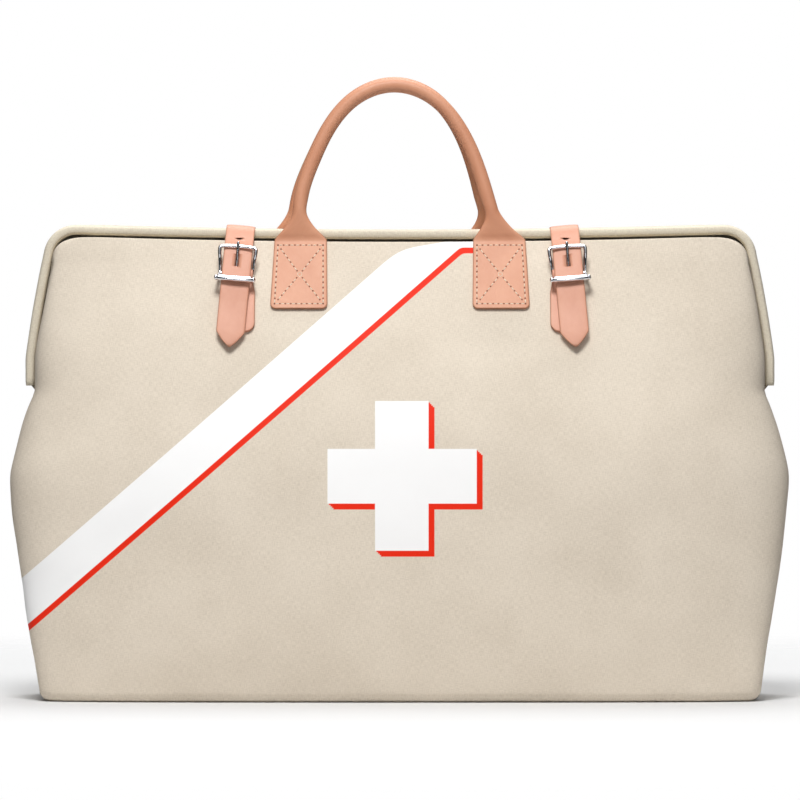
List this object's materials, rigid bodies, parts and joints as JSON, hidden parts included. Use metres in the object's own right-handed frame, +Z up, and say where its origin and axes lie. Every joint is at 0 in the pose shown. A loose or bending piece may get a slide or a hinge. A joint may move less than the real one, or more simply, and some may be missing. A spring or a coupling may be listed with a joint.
{
  "type": "doctor bag",
  "caption": "Wide canvas doctor bag with a hinged steel-hoop mouth that opens like a gate, two rolled leather handles and two buckled leather closing straps.",
  "frame": {"origin": "centre of the bag's footprint, on the surface it stands on", "axes": "+X to the viewer's right along the bag's length, -Y is the front with the buckles, +Z up"},
  "size_m": [0.6102, 0.19, 0.4899],
  "materials": {
    "canvas": "natural unbleached cotton canvas, plain weave, matt",
    "canvas_tape": "cotton tape, matt",
    "rim_canvas": "natural cotton canvas piping, matt",
    "base_board": "stiff fibreboard, matt",
    "hoop_steel": "flat spring steel, satin",
    "rivet_steel": "zinc plated, satin",
    "handle_leather": "natural vegetable-tanned leather, satin",
    "strap_leather": "natural vegetable-tanned leather, satin",
    "rope_core": "twisted cotton rope",
    "buckle_metal": "bright nickel plate"
  },
  "bodies": {
    "bag": {"front_panel": "canvas", "rear_panel": "canvas", "bottom_panel": "canvas", "base_board": "base_board", "left_end_binding": "canvas_tape", "right_end_binding": "canvas_tape", "left_end_tab": "canvas_tape", "right_end_tab": "canvas_tape"},
    "front_frame": {"front_hoop_strip": "hoop_steel", "front_hoop_sleeve": "rim_canvas", "front_upper_panel": "canvas", "front_patch_left": "handle_leather", "front_patch_right": "handle_leather", "left_buckle_chape": "strap_leather", "right_buckle_chape": "strap_leather"},
    "rear_frame": {"rear_hoop_strip": "hoop_steel", "rear_rim_sleeve": "rim_canvas", "rear_upper_panel": "canvas", "hinge_rivets": "rivet_steel", "rear_patch_left": "handle_leather", "rear_patch_right": "handle_leather", "left_strap_anchor": "strap_leather", "right_strap_anchor": "strap_leather"},
    "front_handle": {"front_handle_grip": "handle_leather", "front_handle_core": "rope_core"},
    "rear_handle": {"rear_handle_grip": "handle_leather", "rear_handle_core": "rope_core"},
    "left_strap": {"left_strap": "strap_leather"},
    "left_buckle": {"left_buckle_frame": "buckle_metal"},
    "left_prong": {"left_buckle_prong": "buckle_metal"},
    "left_roller": {"left_buckle_roller": "buckle_metal"},
    "right_strap": {"right_strap": "strap_leather"},
    "right_buckle": {"right_buckle_frame": "buckle_metal"},
    "right_prong": {"right_buckle_prong": "buckle_metal"},
    "right_roller": {"right_buckle_roller": "buckle_metal"}
  },
  "joints": [
    {"name": "front_frame_hinge", "type": "hinge", "parent": "bag", "child": "front_frame", "pos_m": [0, 0, 0.256], "axis": [1, 0, 0], "range_deg": [0, 45]},
    {"name": "rear_frame_hinge", "type": "hinge", "parent": "bag", "child": "rear_frame", "pos_m": [0, 0, 0.256], "axis": [-1, 0, 0], "range_deg": [0, 45]},
    {"name": "front_handle_fold", "type": "hinge", "parent": "front_frame", "child": "front_handle", "pos_m": [0, -0.0198, 0.3616], "axis": [1, 0, 0], "range_deg": [0, 110]},
    {"name": "rear_handle_fold", "type": "hinge", "parent": "rear_frame", "child": "rear_handle", "pos_m": [0, 0.0196, 0.363], "axis": [-1, 0, 0], "range_deg": [0, 110]},
    {"name": "left_strap_swing", "type": "hinge", "parent": "rear_frame", "child": "left_strap", "pos_m": [0, 0.019, 0.368], "axis": [-1, 0, 0], "range_deg": [0, 170], "deforming": ["left_strap"]},
    {"name": "left_buckle_tilt", "type": "hinge", "parent": "front_frame", "child": "left_buckle", "pos_m": [-0.1285, -0.03624, 0.33381], "axis": [0.9962, -0.0416, -0.0766], "range_deg": [0, 30]},
    {"name": "left_prong_turn", "type": "hinge", "parent": "left_buckle", "child": "left_prong", "pos_m": [-0.1285, -0.03624, 0.33381], "axis": [0.9962, -0.0416, -0.0766], "range_deg": [0, 75]},
    {"name": "left_roller_spin", "type": "hinge", "parent": "left_buckle", "child": "left_roller", "pos_m": [-0.12928, -0.04851, 0.33028], "axis": [0.9962, -0.0416, -0.0766], "continuous": true},
    {"name": "right_strap_swing", "type": "hinge", "parent": "rear_frame", "child": "right_strap", "pos_m": [0, 0.019, 0.368], "axis": [-1, 0, 0], "range_deg": [0, 170], "deforming": ["right_strap"]},
    {"name": "right_buckle_tilt", "type": "hinge", "parent": "front_frame", "child": "right_buckle", "pos_m": [0.1325, -0.03617, 0.33381], "axis": [0.9962, 0.0415, 0.0767], "range_deg": [0, 30]},
    {"name": "right_prong_turn", "type": "hinge", "parent": "right_buckle", "child": "right_prong", "pos_m": [0.1325, -0.03617, 0.33381], "axis": [0.9962, 0.0415, 0.0767], "range_deg": [0, 75]},
    {"name": "right_roller_spin", "type": "hinge", "parent": "right_buckle", "child": "right_roller", "pos_m": [0.13328, -0.04844, 0.33025], "axis": [0.9962, 0.0415, 0.0767], "continuous": true}
  ],
  "couplings": [
    {"joint": "left_buckle_tilt", "follows": "left_strap_swing", "ratio": 0.17647},
    {"joint": "right_buckle_tilt", "follows": "right_strap_swing", "ratio": 0.17647}
  ]
}
